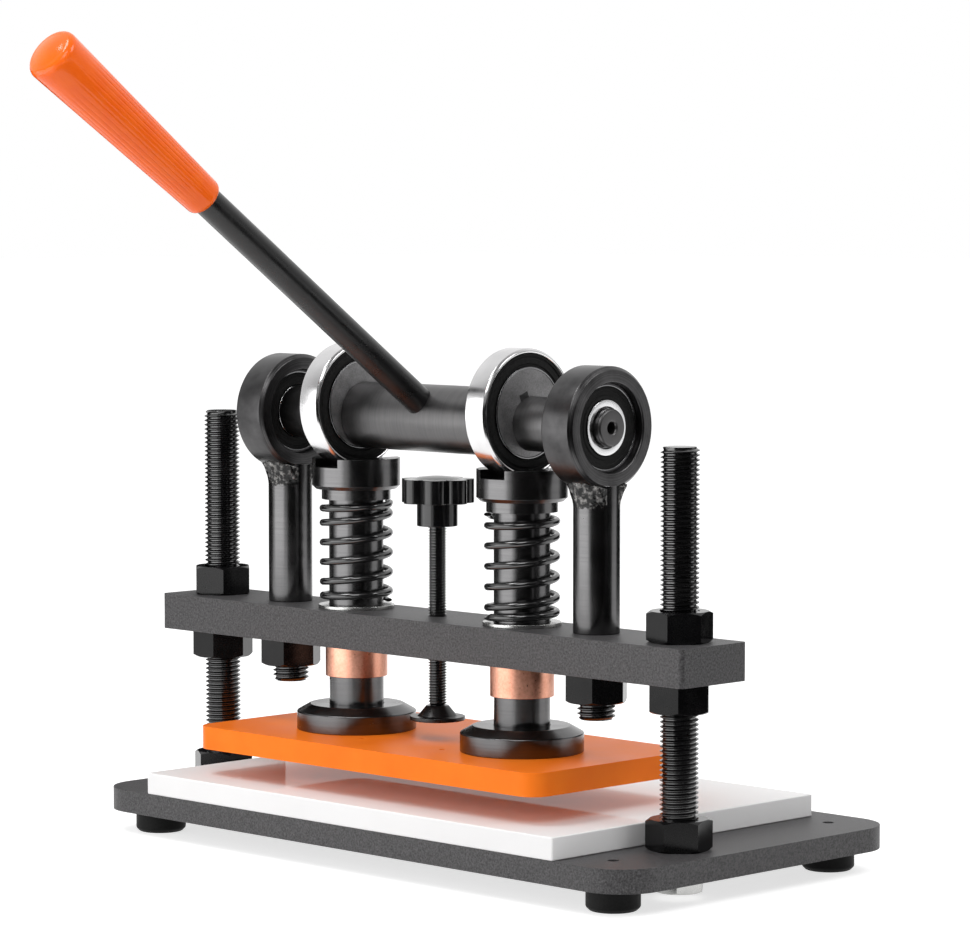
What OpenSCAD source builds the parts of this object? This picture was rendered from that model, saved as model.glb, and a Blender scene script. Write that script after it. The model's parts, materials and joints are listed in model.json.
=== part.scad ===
// Hand lever die cutting press.
// A steel base on rubber feet carries two threaded columns and a cross beam.
// A camshaft with two eccentric wheels pushes two sprung plungers and the press plate down on a board.
// X runs along the beam, -Y is the front, Z is up.
// The origin is on the bench, at the centre of the four bench screw holes.

/* [Base] */
// Length of the base plate along X
base_l = 408; // [396:1:460]
// Width of the base plate along Y
base_w = 216; // [206:1:260]
// Thickness of the base plate
base_t = 12.5; // [10:0.5:20]
// Corner radius of the base plate
base_r = 25; // [5:1:40]
// Diameter of a rubber foot
foot_d = 28; // [20:1:34]
// Height of a rubber foot
foot_h = 12.5; // [11:0.5:25]
// Diameter of the bench screw holes
bench_hole_d = 6; // [4:0.5:9]
// Distance between the bench screw holes along X
bench_hole_x = 350; // [340:1:360]
// Distance between the bench screw holes along Y
bench_hole_y = 168; // [150:1:176]

/* [Columns] */
// Thread diameter of the columns
column_d = 20; // [17:0.5:21]
// Distance between the columns
column_spacing = 352; // [349:1:360]
// Line of the columns, measured from the middle of the base
column_y = -36; // [-45:1:-10]
// Height of the left column above the beam
column_left_rise = 105; // [90:0.5:130]
// Height of the right column above the beam
column_right_rise = 99.5; // [90:0.5:130]
// Width across the flats of the column nuts
nut_af = 30; // [28:0.5:31]
// Height of a column nut
nut_h = 16; // [12:0.5:18]
// Diameter of the bolt that holds a column from below
bolt_d = 12; // [8:0.5:14]
// Depth of that bolt inside the column
bolt_depth = 28; // [20:1:40]
// Width across the flats of the bolt head
bolt_af = 24; // [20:0.5:30]
// Height of the bolt head
bolt_head_h = 9; // [6:0.5:10]

/* [Cutting board] */
// Length of the board along X
board_l = 314; // [270:1:316]
// Width of the board along Y
board_w = 202; // [180:1:205]
// Thickness of the board
board_t = 12; // [8:0.5:20]
// How far the board lies to the left of the middle
board_shift = 1.5; // [0:0.5:2]

/* [Press plate] */
// Length of the press plate along X
plate_l = 263; // [220:1:280]
// Width of the press plate along Y
plate_w = 126; // [110:1:150]
// Thickness of the press plate
plate_t = 12.5; // [9:0.5:20]
// Corner radius of the press plate
plate_r = 11; // [3:1:20]
// How far the plate stands behind the column line
plate_shift = 6; // [0:0.5:12]
// How far the plate lies to the left of the middle
plate_side = 3.5; // [0:0.5:6]
// Gap between the board and the raised press plate
die_gap = 15; // [14.5:0.5:19]
// Diameter of the small peg holes
peg_hole_d = 3; // [2:0.5:6]
// Distance between the peg holes
peg_hole_x = 62; // [30:1:90]
// Distance of the peg holes in front of the column line
peg_hole_y = 27; // [10:1:45]
// Thread diameter of the plate screws
plate_screw_d = 6; // [4:0.5:7]

/* [Beam] */
// Length of the beam
beam_l = 400; // [392:1:440]
// Width of the beam
beam_w = 50; // [46:1:70]
// Thickness of the beam
beam_t = 20; // [16:0.5:26]
// Radius of the upright corners of the beam
beam_r = 3; // [1:0.5:6]
// Height of the underside of the beam above the base
beam_rise = 86.5; // [80:0.5:100]

/* [Eye posts] */
// Distance between the two eyes
eye_spacing = 236; // [228:1:250]
// Diameter of an eye post
post_d = 24.5; // [22:0.5:30]
// Outer diameter of an eye
eye_d = 64; // [58:0.5:72]
// Width of an eye along the shaft
eye_w = 22; // [16:0.5:26]
// Outer diameter of the eye bearing
eye_bearing_d = 47; // [44:0.5:50]
// Width of the eye bearing
eye_bearing_w = 14; // [12:0.5:15]
// Outer diameter of the inner race
eye_race_d = 29; // [27:0.5:30]
// Ball diameter of the eye bearing
eye_ball_d = 6.5; // [5:0.1:7]
// Thread diameter of the stud below an eye post
stud_d = 20; // [16:0.5:21]
// How far the stud reaches below the beam
stud_drop = 25; // [18:0.5:30]

/* [Camshaft] */
// Height of the shaft above the beam
shaft_rise = 107; // [100:0.5:125]
// Diameter of the shaft between the wheels
mid_d = 36.5; // [33:0.5:42]
// Diameter of the shaft inside the eccentrics
seat_d = 29; // [26:0.5:30]
// Diameter of the journals in the eyes
journal_d = 20; // [16:0.5:22]
// Diameter of the centre holes in the shaft ends
centre_hole_d = 6; // [3:0.5:9]
// Offset of the wheel centre from the shaft
eccentricity = 6.2; // [4:0.1:6.5]
// Angle of the eccentrics from upright towards the front
cam_lean = 22; // [10:1:40]
// Width and height of a key
key_size = 6; // [4:0.5:7]

/* [Wheels] */
// Outer diameter of a wheel
wheel_d = 68; // [65:0.5:74]
// Width of a wheel
wheel_w = 15; // [11:0.5:16]
// Inner diameter of the outer wheel ring
wheel_ring_d = 59; // [57:0.5:60]
// Outer diameter of the inner race
wheel_race_d = 49; // [48:0.5:50]
// Outer diameter of the eccentric
wheel_bore = 44; // [43.5:0.1:45]
// Ball diameter of a wheel
wheel_ball_d = 6.8; // [5.6:0.1:7]

/* [Plungers] */
// Distance between the plungers
plunger_spacing = 128; // [124:1:134]
// Diameter of a plunger
plunger_d = 30; // [26:0.5:32]
// Diameter of a plunger head
head_d = 48.5; // [44:0.5:56]
// Height of a plunger head
head_h = 17; // [14:0.5:22]
// Width of the slot that the wheel runs in
slot_w = 18; // [17:0.5:22]
// Depth of that slot
slot_depth = 4.6; // [2:0.1:6]
// Diameter of the collar under the head
collar_d = 38; // [36:0.5:42]
// Height of the collar
collar_h = 5.7; // [3:0.1:9]
// Diameter of the foot flange
flange_d = 66; // [60:0.5:72]
// Height of the straight rim of the flange
flange_rim_h = 10; // [8:0.5:14]
// Height of the chamfer above the rim
flange_chamfer_h = 4; // [2:0.5:5]
// Diameter of the flat top of the flange
flange_top_d = 52; // [46:0.5:56]
// Outer diameter of a guide bush
bush_d = 34.2; // [33:0.1:37]
// How far the bush reaches below the beam
bush_drop = 17.5; // [8:0.5:20]
// Diameter of the spring washer
washer_d = 42; // [41:0.5:48]
// Thickness of the spring washer
washer_t = 2; // [1:0.1:3]

/* [Springs] */
// Outer diameter of a spring
spring_d = 41; // [39.5:0.1:43]
// Wire diameter of a spring
wire_d = 4; // [3:0.1:4.2]
// Number of open turns
open_turns = 4; // [3:1:6]
// Number of closed turns at each end
end_turns = 1; // [1:1:2]
// Gap between the closed turns
end_gap = 0.9; // [0.6:0.1:1.5]

/* [Lever] */
// Angle of the raised lever above level
lever_angle = 35.6; // [25:0.1:60]
// Distance from the shaft to the end face of the grip
lever_reach = 325.5; // [280:0.5:360]
// Diameter of the lever rod
rod_d = 15.5; // [13:0.5:18]
// Diameter of the threaded end of the rod
rod_thread_d = 12; // [8:0.5:12.5]
// Length of the threaded end of the rod
rod_thread_l = 16; // [10:0.5:22]
// Depth that the rod is let into the shaft
rod_seat = 5; // [4.5:0.1:8]
// Length of the grip
grip_l = 123.5; // [90:0.5:140]
// Diameter of the grip at its front
grip_front_d = 20.5; // [19.5:0.5:24]
// Diameter of the grip at its end
grip_end_d = 28.3; // [24:0.1:34]
// Radius of the round rim at the end of the grip
grip_rim_r = 4; // [1:0.5:8]
// Height of the dome on the end of the grip
grip_dome_h = 1.6; // [0.8:0.1:4]

/* [Adjuster] */
// Thread diameter of the adjuster screw
screw_d = 10; // [8:0.5:12]
// Diameter over the lobes of the knob
knob_d = 40; // [34:0.5:48]
// Number of lobes
knob_lobes = 7; // [5:1:9]
// Diameter of one lobe
lobe_d = 13; // [9:0.5:14]
// Height of the lobes
knob_h = 13; // [9:0.5:15]
// Height of the domed top of the knob
knob_dome_h = 1.6; // [0.8:0.1:3]
// Diameter of the hub under the knob
hub_d = 22; // [18.5:0.5:26]
// Height of the hub
hub_h = 12.5; // [8:0.5:16]
// Height of the hub above the beam
knob_rise = 49; // [40:0.5:52]
// Diameter of the threaded insert in the knob
insert_d = 15; // [14:0.5:16]
// Diameter of the rim of the swivel pad
pad_d = 30; // [24:0.5:40]
// Diameter of the dome of the swivel pad
pad_dome_d = 21.6; // [16:0.2:23]
// Thickness of the pad rim
pad_rim_t = 2.2; // [1.5:0.1:3]
// Height of the swivel pad
pad_h = 8; // [6:0.5:10]
// Gap between the pad and the raised press plate
pad_gap = 10.5; // [9.5:0.5:12]
// Diameter of the pivot at the end of the screw
pivot_d = 7; // [5:0.5:7.5]

/* [Fits] */
// Gap between pieces that are fixed together
fit_gap = 0.02; // [0.01:0.01:0.1]
// Gap around a shaft that turns or slides
run_gap = 0.05; // [0.02:0.01:0.1]
// Gap between pieces that move past each other
clear_gap = 0.3; // [0.2:0.05:0.5]

/* [Hidden] */
$fn = 64;
cut = 1;
SIDES = [-1, 1];
PLATE_SCREWS = 4;
NUT_TURNS_UPPER = [20, -9];
NUT_TURNS_LOWER = [0, 10];
NUT_TURNS_BASE = [30, -14];
NUT_TURNS_STUD = [4, 6];
BOLT_TURNS = [10, 8];
SPRING_STARTS = [61, 225];

// Heights of the stack from the bench up
base_top = foot_h + base_t;
board_top = base_top + board_t;
plate_z = board_top + die_gap;
plate_top = plate_z + plate_t;
beam_z = base_top + beam_rise;
beam_top = beam_z + beam_t;
shaft_z = beam_top + shaft_rise;
flange_h = flange_rim_h + flange_chamfer_h;

// Wheel centres, which lean forward of the shaft
wheel_y = column_y - eccentricity * sin(cam_lean);
wheel_z = shaft_z + eccentricity * cos(cam_lean);
slot_z = wheel_z - wheel_d / 2 - clear_gap;
head_top = slot_z + slot_depth;
head_z = head_top - head_h;
collar_z = head_z - collar_h;
head_bevel = 2;
head_web = 4;
plunger_top = slot_z - head_web;

// Camshaft steps along X
mid_half = plunger_spacing / 2 - wheel_w / 2;
race_half = eye_spacing / 2 - eye_bearing_w / 2;
shaft_half = eye_spacing / 2 + eye_w / 2;
centre_hole_depth = 8;
lever_tilt = 90 - lever_angle;

// Springs
spring_seat = beam_top + washer_t;
spring_space = collar_z - spring_seat - 2 * clear_gap;
coil_rise = spring_space - wire_d;
end_pitch = wire_d + end_gap;
open_pitch = (coil_rise - 2 * end_turns * end_pitch) / open_turns;
coil_turns = open_turns + 2 * end_turns;
coil_r = (spring_d - wire_d) / 2;
rings_per_turn = 20;
coil_rings = coil_turns * rings_per_turn;
wire_sides = 6;

// Plate screws
screw_circle_d = (plunger_d + flange_d) / 2;
screw_head_d = 2 * plate_screw_d;
screw_head_h = plate_screw_d / 2;
screw_grip = 8;

// Bearing tracks
eye_ring_wall = 3.5;
eye_ring_d = eye_bearing_d - 2 * eye_ring_wall;
eye_track_d = (eye_ring_d + eye_race_d) / 2;
wheel_track_d = (wheel_ring_d + wheel_race_d) / 2;

// Eye posts end where they meet the round of the eye
post_top = shaft_z - sqrt(pow(eye_d / 2, 2) - pow(post_d / 2, 2));

// Lever and adjuster
rod_start = mid_d / 2 - rod_seat;
grip_wall = 8;
rod_end = lever_reach - grip_wall;
pad_z = plate_top + pad_gap;
pivot_h = pad_h / 2;
hub_z = beam_top + knob_rise;
insert_h = hub_h + knob_h / 2;

// Small shape values
eye_chamfer = 2;
weld_h = 9;
weld_flare = 3.5;
weld_d = post_d + 2 * weld_flare;
round_steps = 6;
thread_chamfer = 1.5;
foot_chamfer = 2;
board_r = 1;
rim_chamfer = 1;
seal_t = 1;
seal_recess = 0.6;
eye_balls = 9;
wheel_balls = 20;

// A flat slab with round corners, standing on its underside
module slab(l, w, t, r) {
    linear_extrude(t) {
        square([l - 2 * r, w], center = true);
        square([l, w - 2 * r], center = true);
        for (sx = SIDES, sy = SIDES)
            translate([sx * (l / 2 - r), sy * (w / 2 - r)]) circle(r);
    }
}

// A turned solid from its half outline
module turned(points) {
    rotate_extrude() polygon(points);
}

// A rod with a chamfer at both ends
module chamfered_rod(d, h, c) {
    turned([[0, 0], [d / 2 - c, 0], [d / 2, c], [d / 2, h - c], [d / 2 - c, h], [0, h]]);
}

// A hexagon block with turned corners at top and bottom
module hex_block(af, h) {
    corner_r = af / 2 / cos(30);
    bevel_h = (corner_r - af / 2) * tan(30);
    intersection() {
        cylinder(r = corner_r, h = h, $fn = 6);
        turned([[0, 0], [af / 2, 0], [corner_r + cut, bevel_h + cut * tan(30)],
                [corner_r + cut, h - bevel_h - cut * tan(30)], [af / 2, h], [0, h]]);
    }
}

// A hexagon nut around a thread
module hex_nut(af, h, bore_d) {
    difference() {
        hex_block(af, h);
        translate([0, 0, -cut]) cylinder(d = bore_d, h = h + 2 * cut);
    }
}

// A flat ring, standing on its underside
module ring(outer_d, inner_d, h) {
    difference() {
        cylinder(d = outer_d, h = h);
        translate([0, 0, -cut]) cylinder(d = inner_d, h = h + 2 * cut);
    }
}

// Places a shape that is built along Z with its middle on a line along X
module along_x(x, y, z) {
    translate([x, y, z]) rotate([0, 90, 0]) children();
}

// A bearing race with a ball groove, centred along its axis
module race(inner_d, outer_d, w, track_d, groove_d) {
    rotate_extrude() difference() {
        translate([inner_d / 2, -w / 2]) square([(outer_d - inner_d) / 2, w]);
        translate([track_d / 2, 0]) circle(d = groove_d);
    }
}

// A circle of balls around an axis
module ball_circle(track_d, ball_d, count) {
    for (i = [0 : count - 1])
        rotate([0, 0, i * 360 / count]) translate([track_d / 2, 0, 0]) sphere(d = ball_d);
}

// Two flat seals that close a bearing, centred along its axis
module seal_pair(outer_d, inner_d, w) {
    for (end = SIDES)
        translate([0, 0, end * (w / 2 - seal_recess - seal_t / 2) - seal_t / 2])
            ring(outer_d, inner_d, seal_t);
}

// Base

module base_plate() {
    color("dimgray") difference() {
        translate([0, 0, foot_h]) slab(base_l, base_w, base_t, base_r);
        bench_holes(foot_h - cut, base_t + 2 * cut, bench_hole_d);
        for (s = SIDES)
            translate([s * column_spacing / 2, column_y, foot_h - cut])
                cylinder(d = column_d + 2 * fit_gap, h = base_t + 2 * cut);
    }
}

module bench_holes(z, h, d) {
    for (sx = SIDES, sy = SIDES)
        translate([sx * bench_hole_x / 2, sy * bench_hole_y / 2, z]) cylinder(d = d, h = h);
}

module rubber_feet() {
    color("black") difference() {
        for (sx = SIDES, sy = SIDES)
            translate([sx * bench_hole_x / 2, sy * bench_hole_y / 2, 0])
                turned([[0, 0], [foot_d / 2 - foot_chamfer, 0], [foot_d / 2, foot_chamfer],
                        [foot_d / 2, foot_h], [0, foot_h]]);
        bench_holes(-cut, foot_h + 2 * cut, bench_hole_d);
    }
}

module column(side, rise) {
    color("#2a2a2c") translate([side * column_spacing / 2, column_y, foot_h]) difference() {
        chamfered_rod(column_d, beam_top + rise - foot_h, thread_chamfer);
        translate([0, 0, -cut]) cylinder(d = bolt_d + 2 * fit_gap, h = bolt_depth + clear_gap + cut);
    }
}

module column_left() { column(-1, column_left_rise); }

module column_right() { column(1, column_right_rise); }

module base_nuts() {
    color("#1c1c1e") for (i = [0 : 1])
        translate([SIDES[i] * column_spacing / 2, column_y, base_top])
            rotate([0, 0, NUT_TURNS_BASE[i]]) hex_nut(nut_af, nut_h, column_d + 2 * fit_gap);
}

module column_bolts() {
    color("silver") for (i = [0 : 1])
        translate([SIDES[i] * column_spacing / 2, column_y, foot_h - bolt_head_h]) {
            rotate([0, 0, BOLT_TURNS[i]]) hex_block(bolt_af, bolt_head_h);
            cylinder(d = bolt_d, h = bolt_head_h + bolt_depth);
        }
}

module cutting_board() {
    color("white") translate([-board_shift, (board_w - base_w) / 2, base_top])
        slab(board_l, board_w, board_t, board_r);
}

// Beam and what is bolted to it

module beam() {
    color("dimgray") translate([0, column_y, beam_z]) difference() {
        slab(beam_l, beam_w, beam_t, beam_r);
        for (s = SIDES) {
            beam_hole(s * column_spacing / 2, column_d + 2 * clear_gap);
            beam_hole(s * eye_spacing / 2, stud_d + 2 * fit_gap);
            beam_hole(s * plunger_spacing / 2, bush_d + 2 * fit_gap);
        }
        beam_hole(0, screw_d + 2 * run_gap);
    }
}

module beam_hole(x, d) {
    translate([x, 0, -cut]) cylinder(d = d, h = beam_t + 2 * cut);
}

module beam_nuts(z, turns) {
    color("#1c1c1e") for (i = [0 : 1])
        translate([SIDES[i] * column_spacing / 2, column_y, z])
            rotate([0, 0, turns[i]]) hex_nut(nut_af, nut_h, column_d + 2 * clear_gap);
}

module beam_nuts_upper() { beam_nuts(beam_top, NUT_TURNS_UPPER); }

module beam_nuts_lower() { beam_nuts(beam_z - nut_h, NUT_TURNS_LOWER); }

module eye_post(side) {
    x = side * eye_spacing / 2;
    weld_z = shaft_z - eye_d / 2 - weld_h / 2;
    color("#3a3a3c") difference() {
        union() {
            along_x(x, column_y, shaft_z) turned([
                [0, -eye_w / 2], [eye_d / 2 - eye_chamfer, -eye_w / 2], [eye_d / 2, eye_chamfer - eye_w / 2],
                [eye_d / 2, eye_w / 2 - eye_chamfer], [eye_d / 2 - eye_chamfer, eye_w / 2], [0, eye_w / 2]]);
            translate([x, column_y, beam_top]) cylinder(d = post_d, h = post_top - beam_top);
            intersection() {
                translate([x, column_y, weld_z]) cylinder(d1 = post_d, d2 = weld_d, h = weld_h);
                translate([x - eye_w / 2, column_y - eye_d, weld_z]) cube([eye_w, 2 * eye_d, weld_h]);
            }
            translate([x, column_y, beam_z - stud_drop])
                chamfered_rod(stud_d, stud_drop + beam_t + post_d / 2, thread_chamfer);
        }
        along_x(x - eye_w, column_y, shaft_z) cylinder(d = eye_bearing_d + 2 * fit_gap, h = 2 * eye_w);
    }
}

module eye_post_left() { eye_post(-1); }

module eye_post_right() { eye_post(1); }

module eye_nuts() {
    color("#1c1c1e") for (i = [0 : 1])
        translate([SIDES[i] * eye_spacing / 2, column_y, beam_z - nut_h])
            rotate([0, 0, NUT_TURNS_STUD[i]]) hex_nut(nut_af, nut_h, stud_d + 2 * fit_gap);
}

module eye_outer_race(side) {
    color("gainsboro") along_x(side * eye_spacing / 2, column_y, shaft_z)
        race(eye_ring_d, eye_bearing_d, eye_bearing_w, eye_track_d, eye_ball_d + 2 * clear_gap);
}

module eye_outer_race_left() { eye_outer_race(-1); }

module eye_outer_race_right() { eye_outer_race(1); }

module eye_ball_set(side) {
    color("silver") along_x(side * eye_spacing / 2, column_y, shaft_z)
        ball_circle(eye_track_d, eye_ball_d, eye_balls);
}

module eye_balls_left() { eye_ball_set(-1); }

module eye_balls_right() { eye_ball_set(1); }

module eye_seals(side) {
    color("#303032") along_x(side * eye_spacing / 2, column_y, shaft_z)
        seal_pair(eye_ring_d - 2 * fit_gap, eye_race_d + 2 * clear_gap, eye_bearing_w);
}

module eye_seals_left() { eye_seals(-1); }

module eye_seals_right() { eye_seals(1); }

module guide_bush(side) {
    color("peru") translate([side * plunger_spacing / 2, column_y, beam_z - bush_drop])
        ring(bush_d, plunger_d + 2 * run_gap, bush_drop + beam_t);
}

module guide_bush_left() { guide_bush(-1); }

module guide_bush_right() { guide_bush(1); }

module spring_washer(side) {
    color("silver") translate([side * plunger_spacing / 2, column_y, beam_top])
        ring(washer_d, plunger_d + 2 * clear_gap, washer_t);
}

module spring_washer_left() { spring_washer(-1); }

module spring_washer_right() { spring_washer(1); }

// Springs: a wire swept along a helix with closed end turns

function coil_height(turn) =
    turn < end_turns ? turn * end_pitch :
    turn < end_turns + open_turns ? end_turns * end_pitch + (turn - end_turns) * open_pitch :
    end_turns * end_pitch + open_turns * open_pitch + (turn - end_turns - open_turns) * end_pitch;

function coil_point(turn) =
    [coil_r * cos(360 * turn), coil_r * sin(360 * turn), wire_d / 2 + coil_height(turn)];

function unit(v) = v / norm(v);

function coil_tangent(turn) =
    unit([-2 * PI * coil_r * sin(360 * turn), 2 * PI * coil_r * cos(360 * turn), open_pitch]);

function wire_ring(turn) =
    let (out = [cos(360 * turn), sin(360 * turn), 0])
    let (up = cross(out, coil_tangent(turn)))
    [for (k = [0 : wire_sides - 1])
        coil_point(turn) + wire_d / 2 * (cos(360 * k / wire_sides) * out + sin(360 * k / wire_sides) * up)];

COIL_TURNS = [for (i = [0 : coil_rings]) i / rings_per_turn];
COIL_POINTS = [for (t = COIL_TURNS) each wire_ring(t)];

coil_self_gap = min([
    for (i = [0 : coil_rings], j = [i + rings_per_turn / 2 : 1 : coil_rings])
        norm(coil_point(COIL_TURNS[i]) - coil_point(COIL_TURNS[j])) - wire_d]);
echo(coil_self_gap = coil_self_gap);

COIL_SIDES = [
    for (i = [0 : coil_rings - 1], k = [0 : wire_sides - 1])
        let (a = i * wire_sides + k)
        let (b = i * wire_sides + (k + 1) % wire_sides)
        each [[a, a + wire_sides, b], [b, a + wire_sides, b + wire_sides]]];
COIL_CAPS = [
    for (k = [1 : wire_sides - 2])
        let (last = coil_rings * wire_sides)
        each [[0, k, k + 1], [last, last + k + 1, last + k]]];

module spring(side) {
    color("#202022") translate([side * plunger_spacing / 2, column_y, spring_seat + clear_gap])
        rotate([0, 0, SPRING_STARTS[side < 0 ? 0 : 1]])
            polyhedron(points = COIL_POINTS, faces = concat(COIL_SIDES, COIL_CAPS));
}

module spring_left() { spring(-1); }

module spring_right() { spring(1); }

// Camshaft, lever and what turns with them

module camshaft() {
    color("dimgray") difference() {
        union() {
            along_x(-shaft_half, column_y, shaft_z) chamfered_rod(journal_d, 2 * shaft_half, rim_chamfer);
            along_x(-race_half, column_y, shaft_z) cylinder(d = seat_d, h = 2 * race_half);
            along_x(-mid_half, column_y, shaft_z) cylinder(d = mid_d, h = 2 * mid_half);
        }
        for (s = SIDES) {
            along_x(s * shaft_half - centre_hole_depth, column_y, shaft_z)
                cylinder(d = centre_hole_d, h = 2 * centre_hole_depth);
            key_block(s, fit_gap);
        }
        translate([0, column_y, shaft_z]) rotate([lever_tilt, 0, 0]) {
            translate([0, 0, mid_d / 2 - rod_seat]) cylinder(d = rod_d + 2 * fit_gap, h = mid_d);
            translate([0, 0, mid_d / 2 - rod_seat - rod_thread_l - clear_gap])
                cylinder(d = rod_thread_d + 2 * fit_gap, h = mid_d);
        }
    }
}

// One key, or the space for it with a gap all round
module key_block(side, gap) {
    translate([side * plunger_spacing / 2, column_y, shaft_z]) rotate([cam_lean, 0, 0])
        translate([-wheel_w / 2, -key_size / 2 - gap, seat_d / 2 - key_size / 2 - gap])
            cube([wheel_w, key_size + 2 * gap, key_size + 2 * gap]);
}

module eccentric_keys() {
    color("gray") for (s = SIDES) key_block(s, 0);
}

module eccentric(side) {
    x = side * plunger_spacing / 2 - wheel_w / 2;
    color("silver") difference() {
        along_x(x, wheel_y, wheel_z) cylinder(d = wheel_bore, h = wheel_w);
        along_x(x - cut, column_y, shaft_z) cylinder(d = seat_d + 2 * fit_gap, h = wheel_w + 2 * cut);
        key_block(side, fit_gap);
    }
}

module eccentric_left() { eccentric(-1); }

module eccentric_right() { eccentric(1); }

module eye_inner_race(side) {
    color("white") along_x(side * eye_spacing / 2, column_y, shaft_z)
        race(journal_d + 2 * fit_gap, eye_race_d, eye_bearing_w, eye_track_d, eye_ball_d + 2 * clear_gap);
}

module eye_inner_race_left() { eye_inner_race(-1); }

module eye_inner_race_right() { eye_inner_race(1); }

module wheel_inner_race(side) {
    color("gainsboro") along_x(side * plunger_spacing / 2, wheel_y, wheel_z)
        race(wheel_bore + 2 * fit_gap, wheel_race_d, wheel_w, wheel_track_d, wheel_ball_d + 2 * clear_gap);
}

module wheel_inner_race_left() { wheel_inner_race(-1); }

module wheel_inner_race_right() { wheel_inner_race(1); }

// Places a shape along the raised lever, measured from the shaft
module on_lever(distance) {
    translate([0, column_y, shaft_z]) rotate([lever_tilt, 0, 0]) translate([0, 0, distance]) children();
}

module lever_rod() {
    color("#1c1c1e") {
        on_lever(rod_start) cylinder(d = rod_d, h = rod_end - rod_start);
        on_lever(rod_start - rod_thread_l) cylinder(d = rod_thread_d, h = rod_thread_l);
    }
}

module lever_grip() {
    face_r = grip_end_d / 2 - grip_rim_r;
    dome_r = (pow(face_r, 2) + pow(grip_dome_h, 2)) / (2 * grip_dome_h);
    dome_half = asin(face_r / dome_r);
    color("orangered") difference() {
        on_lever(lever_reach - grip_l) turned(concat(
            [[0, 0], [grip_front_d / 2, 0]],
            [for (i = [0 : round_steps]) let (turn = 90 * i / round_steps)
                [face_r + grip_rim_r * cos(turn), grip_l - grip_rim_r * (1 - sin(turn))]],
            [for (i = [1 : round_steps]) let (turn = dome_half * (1 - i / round_steps))
                [dome_r * sin(turn), grip_l + grip_dome_h - dome_r * (1 - cos(turn))]]));
        on_lever(lever_reach - grip_l - cut)
            cylinder(d = rod_d + 2 * fit_gap, h = rod_end + fit_gap - lever_reach + grip_l + cut);
    }
}

// Wheels that roll on the eccentrics

module wheel(side) {
    half = wheel_w / 2;
    color("gainsboro") along_x(side * plunger_spacing / 2, wheel_y, wheel_z) rotate_extrude() difference() {
        polygon([
            [wheel_ring_d / 2, -half], [wheel_d / 2 - rim_chamfer, -half], [wheel_d / 2, rim_chamfer - half],
            [wheel_d / 2, half - rim_chamfer], [wheel_d / 2 - rim_chamfer, half], [wheel_ring_d / 2, half]]);
        translate([wheel_track_d / 2, 0]) circle(d = wheel_ball_d + 2 * clear_gap);
    }
}

module wheel_left() { wheel(-1); }

module wheel_right() { wheel(1); }

module wheel_ball_set(side) {
    color("silver") along_x(side * plunger_spacing / 2, wheel_y, wheel_z)
        ball_circle(wheel_track_d, wheel_ball_d, wheel_balls);
}

module wheel_balls_left() { wheel_ball_set(-1); }

module wheel_balls_right() { wheel_ball_set(1); }

module wheel_seals(side) {
    color("#202022") along_x(side * plunger_spacing / 2, wheel_y, wheel_z)
        seal_pair(wheel_ring_d - 2 * fit_gap, wheel_race_d + 2 * clear_gap, wheel_w);
}

module wheel_seals_left() { wheel_seals(-1); }

module wheel_seals_right() { wheel_seals(1); }

// Press plate and its plungers

module press_plate() {
    color("orange") difference() {
        translate([-plate_side, column_y + plate_shift, plate_z]) slab(plate_l, plate_w, plate_t, plate_r);
        for (s = SIDES)
            translate([s * peg_hole_x / 2, column_y - peg_hole_y, plate_z - cut])
                cylinder(d = peg_hole_d, h = plate_t + 2 * cut);
        plate_screw_set(fit_gap);
    }
}

// The countersunk screws, or the space for them with a gap all round
module plate_screw_set(gap) {
    for (s = SIDES, i = [0 : PLATE_SCREWS - 1])
        translate([s * plunger_spacing / 2, column_y, plate_z]) rotate([0, 0, 45 + i * 360 / PLATE_SCREWS])
            translate([screw_circle_d / 2, 0, 0]) {
                cylinder(d1 = screw_head_d + 2 * gap, d2 = plate_screw_d + 2 * gap, h = screw_head_h);
                cylinder(d = plate_screw_d + 2 * gap, h = plate_t + screw_grip + (gap > 0 ? clear_gap : 0));
            }
}

module plate_screws() {
    color("gray") plate_screw_set(0);
}

module plunger(side) {
    color("#2a2a2c") translate([side * plunger_spacing / 2, column_y, plate_top])
        cylinder(d = plunger_d, h = plunger_top - plate_top);
}

module plunger_left() { plunger(-1); }

module plunger_right() { plunger(1); }

module plunger_head(side) {
    color("#1c1c1e") translate([side * plunger_spacing / 2, column_y, collar_z]) difference() {
        turned([
            [0, 0], [collar_d / 2, 0], [collar_d / 2, collar_h], [head_d / 2 - head_bevel, collar_h],
            [head_d / 2, collar_h + head_bevel], [head_d / 2, collar_h + head_h], [0, collar_h + head_h]]);
        translate([0, 0, -cut]) cylinder(d = plunger_d + 2 * fit_gap, h = plunger_top - collar_z + cut);
        translate([-slot_w / 2, -head_d, slot_z - collar_z]) cube([slot_w, 2 * head_d, slot_depth + cut]);
    }
}

module plunger_head_left() { plunger_head(-1); }

module plunger_head_right() { plunger_head(1); }

module plunger_flange(side) {
    color("#2a2a2c") difference() {
        translate([side * plunger_spacing / 2, column_y, plate_top]) difference() {
            turned([[0, 0], [flange_d / 2, 0], [flange_d / 2, flange_rim_h],
                    [flange_top_d / 2, flange_h], [0, flange_h]]);
            translate([0, 0, -cut]) cylinder(d = plunger_d + 2 * fit_gap, h = flange_h + 2 * cut);
        }
        plate_screw_set(fit_gap);
    }
}

module plunger_flange_left() { plunger_flange(-1); }

module plunger_flange_right() { plunger_flange(1); }

// Adjuster in the middle of the beam

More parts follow.
